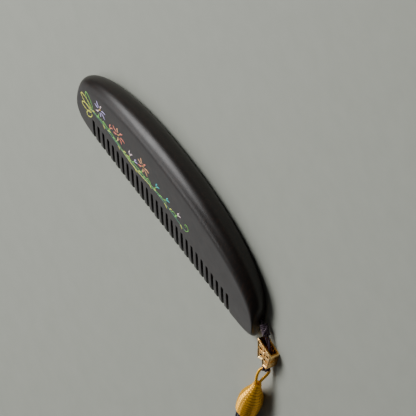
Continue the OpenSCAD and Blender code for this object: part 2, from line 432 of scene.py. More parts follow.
def finish_piece(
    bm: Mesh,
    name: str,
    material: Material,
    replaced: Sequence[str] = (),
    sharp_deg: float = 60.0,
) -> Piece:
    """Turn a mesh in millimetres into a finished piece that rides on the part.

    Args:
        bm: the mesh, which is freed.
        name: the piece's name.
        material: its finish.
        replaced: CAD nodes that it stands for.
        sharp_deg: edges bent by more than this stay sharp.

    Returns:
        The new object.
    """
    bmesh.ops.remove_doubles(bm, verts=bm.verts, dist=WELD)
    bmesh.ops.dissolve_degenerate(bm, edges=bm.edges, dist=WELD / 2)
    bmesh.ops.recalc_face_normals(bm, faces=bm.faces)
    for f in bm.faces:
        f.smooth = True
    for e in bm.edges:
        if len(e.link_faces) == 2 and e.calc_face_angle() > math.radians(sharp_deg):
            e.smooth = False
    piece = to_object(bm, name)
    piece.data.materials.append(material)
    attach(piece, ROOT)
    if replaced:
        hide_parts(*replaced)
    LOG.info("%s: %d faces", name, len(piece.data.polygons))
    return piece


def with_modifiers(piece: Piece) -> None:
    """Apply a piece's modifiers to its mesh.

    Args:
        piece: the piece.
    """
    bpy.context.view_layer.update()
    depsgraph = bpy.context.evaluated_depsgraph_get()
    mesh = bpy.data.meshes.new_from_object(piece.evaluated_get(depsgraph))
    old = piece.data
    piece.modifiers.clear()
    piece.data = mesh
    bpy.data.meshes.remove(old)
    mesh.name = piece.name


def toward(turn: float) -> Vector:
    """Level unit vector at an angle in degrees."""
    return Vector((math.cos(math.radians(turn)), math.sin(math.radians(turn))))


def smooth_path(points: Sequence[Vector], step: float) -> list[Vector]:
    """Run a smooth line through points.

    Args:
        points: the points, two or more.
        step: about how far apart the line's points lie.

    Returns:
        The line's points, first and last ones kept.
    """
    ends = [2 * points[0] - points[1], *points, 2 * points[-1] - points[-2]]
    line = []
    for a, b, c, d in zip(ends, ends[1:], ends[2:], ends[3:]):
        pieces = max(1, round((c - b).length / step))
        for k in range(pieces):
            t = k / pieces
            line.append(
                0.5
                * (2 * b + (c - a) * t + (2 * a - 5 * b + 4 * c - d) * t**2 + (3 * b - a - 3 * c + d) * t**3)
            )
    return [*line, points[-1]]


def frames_along(line: Sequence[Vector]) -> list[tuple[Vector, Vector, Vector]]:
    """Carry a pair of side directions along a line without letting it turn.

    Args:
        line: the line's points.

    Returns:
        For each point, the way on and two directions square to it.
    """
    frames = []
    side = None
    for k in range(len(line)):
        way = (line[min(k + 1, len(line) - 1)] - line[max(k - 1, 0)]).normalized()
        if side is None:
            side = way.orthogonal()
        side = (side - way * side.dot(way)).normalized()
        frames.append((way, side, way.cross(side)))
    return frames


def tube(
    bm: Mesh, line: Sequence[Vector], sides: int, radius: Callable[[float, float], float]
) -> dict[bmesh.types.BMVert, tuple[int, int]]:
    """Add a closed tube along a line, whose radius may vary round it and along it.

    Args:
        bm: the mesh.
        line: the middle line's points.
        sides: number of faces round the tube.
        radius: gives the radius at an angle round the tube and a distance along it.

    Returns:
        The new vertices, each with its number round the tube and along it.
    """
    frames = frames_along(line)
    far = [0.0]
    for a, b in zip(line, line[1:]):
        far.append(far[-1] + (b - a).length)
    last = len(line) - 1

    def place(i: int, j: int) -> Vector:
        """Place of one vertex, where the first and last rings close on a point."""
        k = min(max(j - 1, 0), last)
        if j in (0, last + 2):
            return line[k].copy()
        angle = math.tau * (i % sides) / sides
        _, u, v = frames[k]
        return line[k] + radius(angle, far[k]) * (math.cos(angle) * u + math.sin(angle) * v)

    return mapped_grid(bm, sides, last + 2, place)


# The comb


@dataclass
class Comb:
    """The half-moon comb. Its shape is worked out upright, then laid on its back face."""

    length: float = 150.0
    height: float = 51.6
    spine_thickness: float = 14.3
    full_height: float = 47.4
    tip_thickness: float = 1.8
    widest: float = 22.8
    spine_power: float = 2.03
    corner_power: float = 8.1
    spine_round: float = 7.0
    end_round: float = 4.2
    tip_round: float = 1.3
    face_power: float = 0.75
    flat_strip: Pair = (18.0, 38.0)
    gap_count: int = 28
    gap_pitch: float = 4.19
    gap_width: float = 1.7
    root_height: float = 14.3
    root_rise: float = 0.8
    row_shift: float = 2.6
    edge_round: float = 0.3
    bore_at: Pair = (-9.0, 2.8)
    bore_width: float = 2.6
    bore_depth: float = 8.0
    shoulder: float = 0.75
    end_start: float = 1.2
    laid: Matrix = field(default_factory=Matrix)

    @property
    def half(self) -> float:
        """Half of the comb's length."""
        return self.length / 2

    def share(self, x: float) -> float:
        """Share of the half length at x."""
        return min(abs(x) / self.half, 0.99999)

    @staticmethod
    def arch(share: float, power: float) -> float:
        """Height of a superellipse over its axis."""
        return max(0.0, 1 - share**power) ** (1 / power)

    def lean(self, share: float, power: float, rise: float) -> float:
        """Cosine of the outline's slope, which turns a height into a distance."""
        bend = max(1 - share**power, 1e-12) ** (1 / power - 1)
        return math.cos(math.atan(rise / self.half * share ** (power - 1) * bend))

    def spine_y(self, x: float) -> float:
        """Height of the spine's outline at x."""
        return self.widest + (self.height - self.widest) * self.arch(self.share(x), self.spine_power)

    def tips_y(self, x: float) -> float:
        """Height of the tips' outline at x."""
        return self.widest * (1 - self.arch(self.share(x), self.corner_power))

    def low_round(self, x: float) -> float:
        """Width of the rounding along the lower outline."""
        return self.tip_round + (self.end_round - self.tip_round) * self.share(x) ** 12

    def gap_middle(self, k: int) -> float:
        """Middle of a gap by its number."""
        return (k - (self.gap_count - 1) / 2) * self.gap_pitch - self.row_shift

    def nearest_gap(self, x: float) -> float:
        """Middle of the gap that is nearest to x."""
        k = round((x + self.row_shift) / self.gap_pitch + (self.gap_count - 1) / 2)
        return self.gap_middle(min(max(k, 0), self.gap_count - 1))

    def root_middle(self, gap: float) -> float:
        """Height of the middle of a gap's round root."""
        return self.root_height + self.root_rise * (gap / self.half) ** 2 - self.gap_width / 2

    def off_gap(self, x: float, y: float) -> float:
        """Distance from a point on a tooth to the nearest gap's wall."""
        gap = self.nearest_gap(x)
        up = max(y - self.root_middle(gap), 0.0)
        return math.hypot(x - gap, up) - self.gap_width / 2

    def curved(self, y: float) -> float:
        """Half the thickness of a plain wedge with gently full faces."""
        share = min(max(y / self.full_height, 0.0), 1.0) ** self.face_power
        return (self.tip_thickness + (self.spine_thickness - self.tip_thickness) * share) / 2

    @property
    def flat_slope(self) -> float:
        """Slope of both faces along the flat strip on which the comb lies."""
        low, high = self.flat_strip
        return (self.curved(high) - self.curved(low)) / (high - low)

    def wedge(self, y: float) -> float:
        """Half the thickness of the wedge with its flat strip."""
        low, high = self.flat_strip
        return self.curved(low) + self.flat_slope * (y - low) if low < y < high else self.curved(y)

    def half_thickness(self, x: float, y: float) -> float:
        """Half the comb's thickness at a point, before the teeth's edges are rounded.

        Args:
            x: the point's place along the comb.
            y: its height over the tips.

        Returns:
            Half the thickness.
        """

        def rounding(q: float) -> float:
            """Quarter of a circle, from 0 on the outline to 1 where the face begins."""
            return math.sqrt(1 - (1 - min(max(q, 0.0), 1.0)) ** 2)

        share = self.share(x)
        rise = self.height - self.widest
        top = (self.spine_y(x) - y) * self.lean(share, self.spine_power, rise) / self.spine_round
        low = (y - self.tips_y(x)) * self.lean(share, self.corner_power, self.widest) / self.low_round(x)
        return self.wedge(y) * rounding(top) * rounding(low)

    def face_z(self, x: float, y: float) -> float:
        """Height of the painted face over the middle plane, with the teeth's edges rounded.

        Args:
            x: the point's place along the comb.
            y: its height over the tips.

        Returns:
            The height.
        """
        t = self.half_thickness(x, y)
        r = min(self.edge_round, t)
        d = min(max(self.off_gap(x, y), 0.0), r)
        return t - r + math.sqrt(max(r * r - (r - d) ** 2, 0.0))

    END_COLUMNS = 26
    GAP_COLUMNS = 10
    EDGE_COLUMNS = 4

    def columns(self) -> tuple[list[float], set[int]]:
        """Set out the grid's columns, close together at the teeth's edges and the comb's ends.

        Returns:
            Their places, and the numbers of those that begin a strip of gap.
        """
        edge = [
            self.edge_round * (1 - math.cos(math.radians(90 * k / self.EDGE_COLUMNS)))
            for k in range(1, self.EDGE_COLUMNS + 1)
        ]
        land = self.gap_pitch - self.gap_width
        tooth = [*edge, self.shoulder, land / 2, land - self.shoulder, *[land - e for e in reversed(edge)]]
        ends = self.END_COLUMNS
        round_end = [math.sin(math.pi / 2 * k / ends) for k in range(ends + 1)]
        first = self.gap_middle(0) - self.gap_width / 2
        start = first - self.end_start
        xs = [start + (-self.half - start) * q for q in reversed(round_end)]
        xs += [first - self.shoulder, *[first - e for e in reversed(edge)]]
        open_strips = set()
        for k in range(self.gap_count):
            middle = self.gap_middle(k)
            open_strips.update(range(len(xs), len(xs) + self.GAP_COLUMNS))
            for s in range(self.GAP_COLUMNS + 1):
                xs.append(middle - math.cos(math.pi * s / self.GAP_COLUMNS) * self.gap_width / 2)
            if k < self.gap_count - 1:
                xs += [middle + self.gap_width / 2 + t for t in tooth]
        last = xs[-1]
        end = last + self.end_start
        xs += [*[last + e for e in edge], last + self.shoulder]
        xs += [end + (self.half - end) * q for q in round_end]
        return xs, open_strips

    LOW_ROWS = 6
    TOOTH_ROWS = 14
    EDGE_ROWS = 4
    FACE_ROWS = 18
    SPINE_ROWS = 14

    def rows(self, x: float) -> list[float]:
        """Set out the grid's rows in one column, which close up towards the comb's ends.

        Args:
            x: the column's place.

        Returns:
            Their heights.
        """
        least_root, most_under, most_over, least_lean, full_column = 0.32, 0.45, 0.7, 0.05, 20
        low, high = self.tips_y(x), self.spine_y(x)
        gap = self.nearest_gap(x)
        half_gap = self.gap_width / 2
        root = self.root_middle(gap) + math.sqrt(max(half_gap**2 - (x - gap) ** 2, 0.0))
        root = max(root, low + least_root * (high - low))
        rise = self.height - self.widest
        lean = max(self.lean(self.share(x), self.spine_power, rise), least_lean)
        under = min(self.low_round(x), most_under * (root - low))
        over = min(self.spine_round / lean, most_over * (high - root))
        edge = min(1.0, (high - low) / full_column) * self.edge_round

        def quarter(rows: int) -> list[float]:
            """Angles from nothing to a right angle in equal steps."""
            return [math.pi / 2 * k / rows for k in range(rows + 1)]

        ys = [low + under * (1 - math.cos(a)) for a in quarter(self.LOW_ROWS)]
        ys += [ys[-1] + (root - ys[-1]) * k / self.TOOTH_ROWS for k in range(1, self.TOOTH_ROWS + 1)]
        ys += [root + edge * (1 - math.cos(a)) for a in quarter(self.EDGE_ROWS)[1:]]
        top = high - over
        ys += [ys[-1] + (top - ys[-1]) * k / self.FACE_ROWS for k in range(1, self.FACE_ROWS + 1)]
        return ys + [high - over * (1 - math.sin(a)) for a in quarter(self.SPINE_ROWS)[1:]]

    def build(self, finish: Material) -> Piece:
        """Make the comb: one face as a mapped grid, its teeth cut, walled and mirrored.

        Args:
            finish: the wood.

        Returns:
            The comb, which replaces the CAD node.
        """
        xs, open_strips = self.columns()
        heights = [self.rows(x) for x in xs]
        last_column, last_row = len(xs) - 1, len(heights[0]) - 1
        root_row = self.LOW_ROWS + self.TOOTH_ROWS

        def place(i: int, j: int) -> Vector:
            """Place of one vertex of the painted face."""
            x, y = xs[i], heights[i][j]
            if i in (0, last_column):
                return Vector((x, self.widest, 0))
            return Vector((x, y, 0.0 if j in (0, last_row) else self.face_z(x, y)))

        bm = bmesh.new()
        number = mapped_grid(bm, last_column, last_row, place)
        cut = [
            f
            for f in bm.faces
            if min(number[v][0] for v in f.verts) in open_strips
            and max(number[v][1] for v in f.verts) <= root_row
        ]
        bmesh.ops.delete(bm, geom=cut, context="FACES")
        walls = [e for e in bm.edges if e.is_boundary and any(v.co.z > 1e-6 for v in e.verts)]
        for v in bmesh.ops.extrude_edge_only(bm, edges=walls)["geom"]:
            if isinstance(v, bmesh.types.BMVert):
                v.co.z = 0.0
        bmesh.ops.remove_doubles(bm, verts=bm.verts, dist=WELD)
        bmesh.ops.mirror(bm, geom=[*bm.verts, *bm.edges, *bm.faces], axis="Z", merge_dist=WELD)
        turn = Matrix.Rotation(math.atan(self.flat_slope), 4, "X")
        bmesh.ops.transform(bm, matrix=turn, verts=bm.verts)
        ys = [v.co.y for v in bm.verts]
        shift = Matrix.Translation((0, -(min(ys) + max(ys)) / 2, -min(v.co.z for v in bm.verts)))
        bmesh.ops.transform(bm, matrix=shift, verts=bm.verts)
        self.laid = shift @ turn
        piece = finish_piece(bm, "comb_body", finish, ["comb"], 40)
        self.drill(piece)
        return piece

    def drill(self, piece: Piece) -> None:
        """Cut the cord's blind hole into the comb's end.

        Args:
            piece: the comb.
        """
        bm = bmesh.new()
        bmesh.ops.create_cone(
            bm,
            cap_ends=True,
            segments=48,
            radius1=self.bore_width / 2,
            radius2=self.bore_width / 2,
            depth=2 * self.bore_depth,
            matrix=Matrix.Translation((self.half, *self.bore_at)) @ Matrix.Rotation(math.pi / 2, 4, "Y"),
        )
        drill = to_object(bm, "drill")
        cut = piece.modifiers.new("bore", "BOOLEAN")
        cut.operation, cut.solver, cut.object = "DIFFERENCE", "EXACT", drill
        with_modifiers(piece)
        bpy.data.objects.remove(drill)


# The painting


class Paint(Enum):
    """Colours of the painted vine."""

    LIME = "#e2e64e"
    LEAF = "#78c84e"
    TEAL = "#56a583"
    CORAL = "#ff8a70"
    PEACH = "#ffba84"
    LILAC = "#cabcf6"
    BLUSH = "#fbdfe4"
    AQUA = "#22ccd0"
    OCHRE = "#ecc05a"


@dataclass
class VinePainting:
    """A traditional flowering vine, painted above the teeth in fine raised strokes."""

    comb: Comb
    relief: float = 0.08
    boldness: float = 1.45
    seed: int = 7
    fine: float = 0.36
    strokes: list[tuple[list[Vector], float, Paint]] = field(default_factory=list)

    def stroke(self, points: Sequence[Sequence[float]], width: float, colour: Paint) -> None:
        """Lay down one stroke on the comb's face.

        Args:
            points: places that it runs through, along the comb and over the tips.
            width: its greatest width, before the painting's boldness.
            colour: its colour.
        """
        flat = [Vector((p[0], p[1], 0)) for p in points]
        self.strokes.append((smooth_path(flat, 0.35), width * self.boldness, colour))

    def petal(self, at: Vector, turn: float, reach: Pair, width: float, colour: Paint) -> None:
        """Paint one tapered stroke that bends a little.

        Args:
            at: the point that it comes from.
            turn: its direction in degrees.
            reach: distances from the point at which it starts and ends.
            width: its greatest width.
            colour: its colour.
        """
        way = toward(turn)
        side = Vector((-way.y, way.x))
        near, far = reach
        bend = 0.12 * (far - near)
        self.stroke(
            [at + way * near, at + way * (near + far) / 2 + side * bend, at + way * far], width, colour
        )

    def blossom(self, at: Pair, size: float, turn: float, rim: Paint, fill: Paint) -> None:
        """Paint an open blossom: seven separate strokes round a small heart.

        Args:
            at: its middle.
            size: its radius.
            turn: its first stroke's direction in degrees.
            rim: the colour of most strokes.
            fill: the colour of each third one.
        """
        for k in range(7):
            colour = fill if k % 3 == 1 else rim
            reach = (0.28 * size, size * (0.85 if k % 2 else 1))
            self.petal(Vector(at), turn + 360 * k / 7, reach, 0.66, colour)
        self.petal(Vector(at), turn, (-0.12 * size, 0.12 * size), 0.7, Paint.OCHRE)

    def bud(self, at: Pair, turn: float, size: float, colour: Paint) -> None:
        """Paint a closed bud of two short strokes on a green stalk.

        Args:
            at: the foot of the strokes.
            turn: the bud's direction in degrees.
            size: its length.
            colour: its colour.
        """
        base, way = Vector(at), toward(turn)
        for spread in (-20, 14):
            self.petal(base, turn + spread, (0.15 * size, size), 0.55, colour)
        self.stroke([base - way * 0.9 * size, base + way * 0.3 * size], self.fine, Paint.LEAF)

    def tendril(self, at: Pair, turn: float, size: float, hand: int, colour: Paint) -> None:
        """Paint a tendril, which curls tighter and tighter.

        Args:
            at: its foot.
            turn: the direction in degrees in which it leaves.
            size: its rough size.
            hand: 1 to curl to the left, or -1.
            colour: its colour.
        """
        line, heading, place = [], math.radians(turn), Vector(at)
        for k in range(12):
            line.append(place)
            heading += hand * math.radians(8 + 4.2 * k)
            place = place + Vector((math.cos(heading), math.sin(heading))) * size / (6 + 0.55 * k)
        self.stroke(line, self.fine, colour)

    def oval(self, at: Pair, turn: float, long: float, wide: float, colour: Paint) -> None:
        """Paint an open loop that leaves a point and comes back to it.

        Args:
            at: the point.
            turn: the loop's direction in degrees.
            long: its length.
            wide: its width.
            colour: its colour.
        """
        way = toward(turn)
        side = Vector((-way.y, way.x))
        line = []
        for k in range(13):
            a = math.tau * k / 12
            line.append(Vector(at) + way * long * (1 - math.cos(a)) / 2 + side * wide / 2 * math.sin(a))
        self.stroke(line, 0.48, colour)

    def compose(self) -> None:
        """Set out the vine along the band above the teeth."""
        chance = random.Random(self.seed)

        def stem(x: float) -> float:
            """Height of the vine's stem at x."""
            return 20.9 + 0.018 * (x + 60) + 0.9 * math.sin((x + 66) / 8.4)

        xs = [-62 + 2.2 * k for k in range(38)]
        self.stroke([(x, stem(x)) for x in xs], 0.42, Paint.TEAL)
        self.stroke([(x, stem(x) + 1.4 + 0.6 * math.sin(x / 4.2)) for x in xs[:31]], 0.36, Paint.LEAF)
        self.stroke([(x, stem(x) - 0.8 * math.sin((x + 36) / 9)) for x in xs[12:25]], 0.4, Paint.LIME)
        for at, turn, long, wide, colour in (
            ((-60.5, 21.5), 160, 9.5, 4.4, Paint.LIME),
            ((-60.0, 22.5), 124, 9.0, 4.0, Paint.LEAF),
            ((-60.5, 20.5), 196, 8.5, 4.0, Paint.LIME),
            ((-60.5, 19.5), 236, 7.0, 3.2, Paint.LIME),
        ):
            self.oval(at, turn, long, wide, colour)
        for k, x in enumerate(xs[1:-1:2]):
            hand = -1 if k % 3 == 2 else 1
            colour = (Paint.LIME, Paint.LEAF, Paint.LIME)[k % 3]
            turn = chance.uniform(-12, 12) + hand * 38
            self.petal(Vector((x, stem(x))), turn, (0.3, chance.uniform(2.4, 3.6)), 0.62, colour)
        for x, size, turn, rim, fill in (
            (-53, 5.0, 20, Paint.LILAC, Paint.BLUSH),
            (-37, 5.4, 50, Paint.CORAL, Paint.PEACH),
            (-16, 5.0, 8, Paint.PEACH, Paint.CORAL),
        ):
            self.blossom((x, stem(x) + 7.8), size, turn, rim, fill)
            stalk = [(x - 3.0, stem(x - 3.0)), (x - 1.4, stem(x) + 2.0), (x - 0.6, stem(x) + 5.0)]
            self.stroke(stalk, 0.42, Paint.LEAF)
        for x, turn, size, colour in (
            (-44.5, 66, 4.0, Paint.CORAL),
            (-27.5, 74, 4.2, Paint.BLUSH),
            (-23.5, 48, 3.4, Paint.LILAC),
            (-5, 60, 3.8, Paint.AQUA),
            (3.5, 46, 3.4, Paint.AQUA),
            (13, 50, 3.4, Paint.BLUSH),
        ):
            self.bud((x, stem(x) + 3.6), turn, size, colour)
        for x, turn, size, hand, colour in (
            (-47, 100, 6, 1, Paint.LEAF),
            (-31, 62, 6, -1, Paint.LIME),
            (-9, 100, 6, 1, Paint.LEAF),
            (8, 75, 6, -1, Paint.LEAF),
            (19, 20, 8, 1, Paint.LEAF),
        ):
            self.tendril((x, stem(x)), turn, size, hand, colour)

    def build(self, finish: Material) -> Piece:
        """Make every stroke a slim ribbon that lies on the face and tapers at both ends.

        Args:
            finish: the lacquer.

        Returns:
            The painting.
        """
        self.compose()
        bm = bmesh.new()
        layer = bm.verts.layers.float_color.new("paint")
        for line, width, colour in self.strokes:
            frames = frames_along(line)
            last = len(line) - 1

            def place(i: int, j: int) -> Vector:
                """Place of one vertex of the ribbon, on the comb as it lies."""
                taper = max(math.sin(math.pi * (j + 0.35) / (last + 0.7)), 0.0) ** 0.5
                way = frames[j][0]
                side = Vector((-way.y, way.x, 0))
                p = line[j] + side * width * taper * (i / 4 - 0.5)
                lift = self.relief * (1 - (i / 2 - 1) ** 2) - 0.02
                return self.comb.laid @ Vector((p.x, p.y, self.comb.face_z(p.x, p.y) + lift))

            for v in mapped_grid(bm, 4, last, place):
                v[layer] = linear(colour.value)
        return finish_piece(bm, "vine_painting", finish)


# Cord and charm


Route = tuple[Triple, ...]


@dataclass
class Cord:
    """The doubled cord: out of the comb, through its knot and the charm, round a bight and back."""

    width: float = 0.9
    strand_gap: float = 0.52
    twist_points: int = 10
    twist_end: int = 19
    bight: Triple = (86.2, -28.9, 3.3)
    bight_round: float = 1.4
    bight_skew: float = 0.45
    roll: float = math.radians(30)
    plies: int = 3
    ply_turn: float = 2.6
    route: Route = (
        (69, -9, 2.8), (70.5, -9, 2.8), (72, -9, 2.8), (73.5, -9, 2.8),
        (75, -9.05, 2.8), (75.95, -9.45, 2.7), (76.8, -10.1, 2.6), (77.6, -10.8, 2.5),
        (78.4, -11.55, 2.5), (79.2, -12.3, 2.5), (80, -13.05, 2.5), (80.9, -14, 2.5),
        (81.9, -15.05, 2.5), (82.9, -16.25, 2.5), (83.9, -17.6, 2.5), (84.8, -19, 2.5),
        (85.6, -20.5, 2.5), (86.2, -22.1, 2.5), (86.6, -23.75, 2.5), (86.8, -25.4, 2.5),
    )
    parting: tuple[tuple[Triple, float, float], ...] = (
        ((86.75, -26.4, 2.55), 0.55, 0.1),
        ((86.58, -27.35, 2.8), 0.75, 0.3),
    )
    knot_index: int = 8
    knot_bore: float = 1.1
    knot_round: float = 1.85
    knot_half: float = 2.9
    knot_turns: int = 6
    hitch_round: float = 1.15
    hitch_gap: float = 0.95
    hitch_pitch: float = 0.3
    hitch_turns: int = 2
    knot_swell: float = 0.12
    knot_bridge: float = 0.42

    def heading(self, k: int) -> Vector:
        """Level direction of the route at a point."""
        a, b = self.route[max(k - 1, 0)], self.route[min(k + 1, len(self.route) - 1)]
        return Vector((b[0] - a[0], b[1] - a[1], 0)).normalized()

    @staticmethod
    def beside(way: Vector, turn: float = 0.0) -> Vector:
        """Direction to the left of a level way, turned up out of the level by an angle."""
        return math.cos(turn) * Vector((-way.y, way.x, 0)) + math.sin(turn) * Vector((0, 0, 1))

    def path(self) -> list[Vector]:
        """Work out the strand's way, out along one side and back along the other.

        Returns:
            Its points.
        """
        middle = Vector(self.bight)
        tail = middle - Vector(self.route[-1])
        tail = Vector((tail.x, tail.y, 0)).normalized()
        tail_side = self.beside(tail, self.roll)
        tail_over = self.beside(tail, self.roll + math.pi / 2)

        def strand(k: int, side: int) -> Vector:
            """Point of one side of the twisted pair."""
            angle = math.tau * (min(k, self.twist_end) - self.twist_end) / self.twist_points
            out = self.beside(self.heading(k), angle + self.roll)
            return Vector(self.route[k]) + side * self.strand_gap * out

        def parted(k: int, side: int) -> Vector:
            """Point where the sides part, between the charm and the bight."""
            at, across, along = self.parting[k]
            return Vector(at) + side * (across * tail_side - along * tail_over)

        def bent(k: int) -> Vector:
            """Point of the bight."""
            across, along = math.cos(math.pi * k / 8), math.sin(math.pi * k / 8)
            skewed = self.bight_skew * across * tail_over
            return middle + self.bight_round * (across * tail_side + along * tail) - skewed

        ks, ps = range(len(self.route)), range(len(self.parting))
        return [
            *[strand(k, 1) for k in ks],
            *[parted(k, 1) for k in ps],
            *[bent(k) for k in range(9)],
            *[parted(k, -1) for k in reversed(ps)],
            *[strand(k, -1) for k in reversed(ks)],
        ]

    def build(self, finish: Material) -> tuple[Piece, list[Vector]]:
        """Make the strand with its twisted plies.

        Args:
            finish: the waxed cord.

        Returns:
            The strand and the line that it follows.
        """
        line = smooth_path(self.path(), 0.14)

        def radius(angle: float, far: float) -> float:
            """Radius of the strand, which has a lobe for each ply."""
            lobe = abs(math.cos(self.plies / 2 * (angle - math.tau * far / self.ply_turn)))
            return self.width / 2 * (0.8 + 0.2 * lobe)

        bm = bmesh.new()
        tube(bm, line, 15, radius)
        piece = finish_piece(bm, "cord_strand", finish, ["cord"], 80)
        return piece, line

    @staticmethod
    def plied(core: float, lobe: float) -> Callable[[float, float], float]:
        """Radius of a thin strand of three plies that turn as it goes."""
        return lambda angle, far: core + lobe * abs(math.cos(1.5 * (angle - far * 2.2)))

    def build_lashing(self, finish: Material) -> Piece:
        """Make the knot: a strand wound round the pair, and its last turn drawn across the others.

        Args:
            finish: the waxed cord.

        Returns:
            The knot, which replaces the CAD node.
        """
        middle = Vector(self.route[self.knot_index])
        way = self.heading(self.knot_index)
        strand = (self.knot_round - self.knot_bore) / 2
        span = self.knot_half - strand
        rest = self.knot_bore + strand

        def wound(angle: float, along: float, out: float) -> Vector:
            """Point at an angle round the pair, and at distances along it and out from it."""
            return middle + way * along + out * self.beside(way, angle)

        steps, bridge_steps = 28 * self.knot_turns, 24
        winding = []
        for k in range(steps + 1):
            q = k / steps
            swell = self.knot_swell * math.sin(math.pi * q)
            winding.append(wound(math.tau * self.knot_turns * q, span * (2 * q - 1), rest + swell))
        across = []
        for k in range(bridge_steps + 1):
            proud = self.knot_bridge * math.sin(math.pi * k / bridge_steps) ** 0.5
            angle = math.radians(94 - 134 * k / bridge_steps)
            across.append(wound(angle, span * (1 - 2 * k / bridge_steps), rest + proud))
        bm = bmesh.new()
        for line in (winding, smooth_path(across, 0.1)):
            tube(bm, line, 12, self.plied(0.88 * strand, 0.12 * strand))
        return finish_piece(bm, "cord_lashing", finish, ["cord_knot"], 80)

    def build_hitch(self, finish: Material, loop: Sequence[Vector]) -> Piece:
        """Make the hitch: turns of strand round the far end of the gold loop, beside the bight.

        Args:
            finish: the waxed cord.
            loop: the loop's middle line.

        Returns:
            The hitch.
        """
        top = len(loop) // 2
        way = (loop[top + 1] - loop[top - 1]).normalized()
        up = way.orthogonal().normalized()
        over = way.cross(up)
        turn_steps = 24
        bm = bmesh.new()
        for side in (-1, 1):
            line = []
            for k in range(self.hitch_turns * turn_steps + 1):
                angle = math.tau * k / turn_steps
                along = side * (self.hitch_gap + self.hitch_pitch * k / turn_steps)
                out = self.hitch_round * (math.cos(angle) * up + math.sin(angle) * over)
                line.append(loop[top] + way * along + out)
            tube(bm, line, 12, self.plied(0.36, 0.04))
        return finish_piece(bm, "cord_hitch", finish, (), 80)


@dataclass
class Charm:
    """The box-shaped cast charm: the CAD solid with a round rim cast on, softly rounded."""

    corners: tuple[Pair, ...] = (
        (77.8, -16.2), (81.1, -26.3), (84.2, -24.9), (85.8, -27.3), (88.9, -26.4), (89.1, -17.9),
    )
    heart: Pair = (84.1, -21.1)
    thickness: float = 5.0
    plate: float = 0.7
    rim_in: float = 0.55
    rim_round: float = 0.4
    rim_proud: float = 0.14
    voxel: float = 0.09

    def build(self, finish: Material, solid: bpy.types.Mesh) -> Piece:
        """Make the charm.

        Args:
            finish: the gold plating.
            solid: the CAD solid's mesh, in metres.

        Returns:
            The charm, which replaces the CAD node.
        """
        bm = bmesh.new()
        bm.from_mesh(solid)
        bmesh.ops.remove_doubles(bm, verts=bm.verts, dist=1e-6)
        bmesh.ops.scale(bm, vec=(1 / MM, 1 / MM, 1 / MM), verts=bm.verts)
        self.add_rim(bm, self.rim_round)
        self.add_rim(bm, self.thickness - self.rim_round + self.rim_proud)
        bmesh.ops.recalc_face_normals(bm, faces=bm.faces)
        piece = finish_piece(bm, "charm_casting", finish, ["charm"])
        melt = piece.modifiers.new("cast", "REMESH")
        melt.mode = "VOXEL"
        melt.voxel_size = self.voxel * MM
        melt.use_smooth_shade = True
        soften = piece.modifiers.new("soften", "SMOOTH")
        soften.factor = 0.5
        soften.iterations = 2
        with_modifiers(piece)
        # Mark the inside of the box, where the gold is painted darker as shade
        inside_shade = piece.data.attributes.new("painted_shade_inside", "FLOAT", "POINT")
        for v in piece.data.vertices:
            inside_shade.data[v.index].value = self.painted_shade_inside(v.co / MM)
        return piece

    def painted_shade_inside(self, p: Vector) -> float:
        """Tell the inside of the box, which is painted darker as shade, from the outside of its plates and
        walls.

        Args:
            p: a point of the charm's surface.

        Returns:
            0 outside, 1 inside.
        """
        if abs(p.z - self.thickness / 2) > self.thickness / 2 - 0.6 * self.plate:
            return 0.0
        reach = []
        for a, b in zip(self.corners, self.corners[1:]):
            near, share = geometry.intersect_point_line(p.xy, Vector(a), Vector(b))
            near = Vector(a) if share < 0 else Vector(b) if share > 1 else near
            reach.append((p.xy - near.xy).length)
        return ease((min(reach) - 0.25) / 0.3)

    def add_rim(self, bm: Mesh, z: float) -> None:
        """Run a rounded rim along the edge of one plate.

        Args:
            bm: the charm's mesh.
            z: the height of the rim's middle line.
        """
        heart = Vector(self.heart)
        corners = [Vector(c) for c in self.corners]
        corners = [(c + (heart - c).normalized() * self.rim_in).to_3d() for c in corners]
        for c in corners:
            c.z = z
        line = []
        for a, b in zip(corners, corners[1:] + corners[:1]):
            line += [a + (b - a) * t for t in (0.08, 0.36, 0.64, 0.92)]
        tube(bm, [*line, line[0]], 12, lambda angle, far: self.rim_round)


# Tassel


